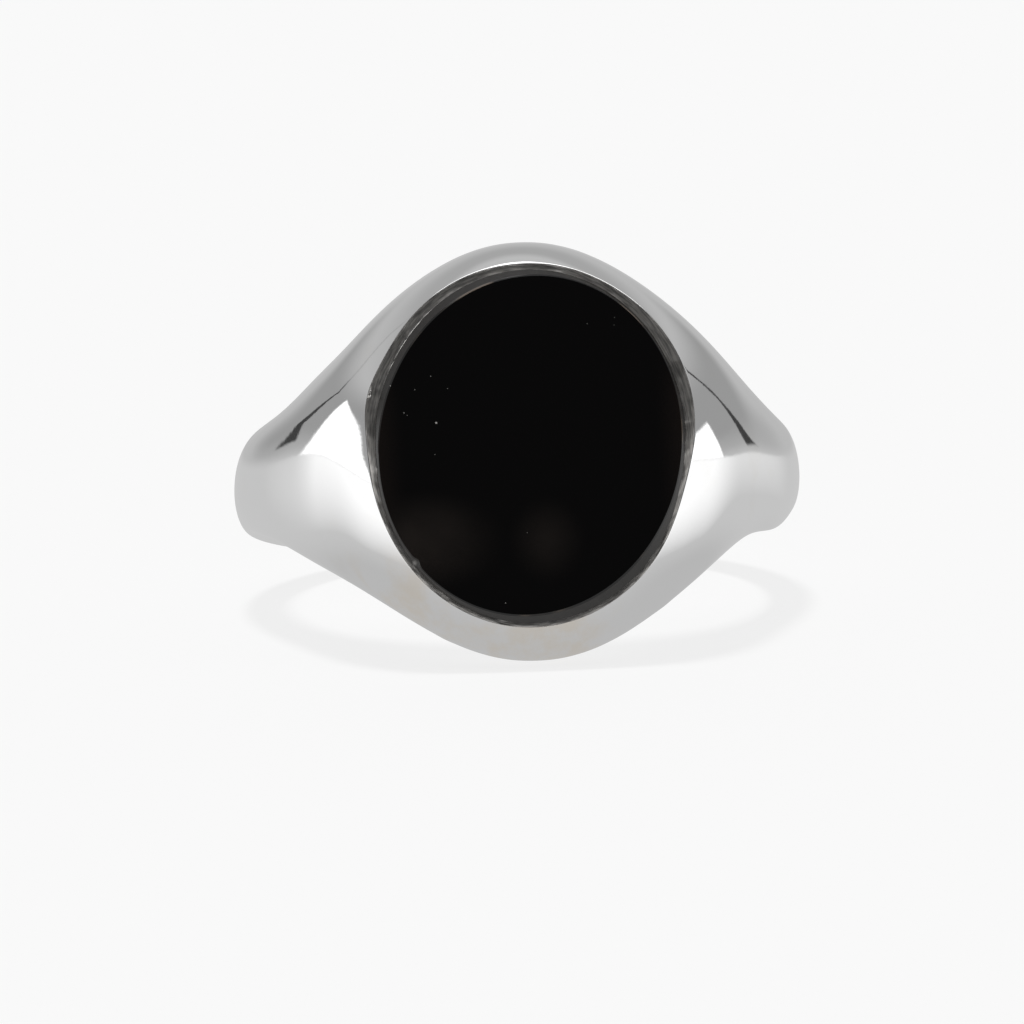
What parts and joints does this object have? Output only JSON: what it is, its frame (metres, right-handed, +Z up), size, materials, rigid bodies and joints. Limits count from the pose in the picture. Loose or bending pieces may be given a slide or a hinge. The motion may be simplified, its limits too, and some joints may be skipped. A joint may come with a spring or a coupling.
{
  "type": "signet ring",
  "caption": "Polished silver signet ring with a flat oval black onyx set in a burnished bezel, lying at rest on its head's lower edge and the back of its shank.",
  "frame": {"origin": "the table under the middle of the ring's box, as it lies at rest", "axes": "+Z up from the table, +Y from the face towards the back of the shank, X across the ring; the face looks along -Y and is tipped up, and the finger axis leans from +Z towards +Y by the same angle"},
  "size_m": [0.0232, 0.0254, 0.0162],
  "materials": {
    "silver_body": "sterling silver, hand polished",
    "silver_bezel": "sterling silver, burnished",
    "black_onyx": "black onyx, polished flat",
    "cement": "cured setting cement"
  },
  "bodies": {
    "root": {"ring_body": "silver_body", "bezel": "silver_bezel", "onyx_stone": "black_onyx", "setting_cement": "cement"}
  },
  "joints": []
}
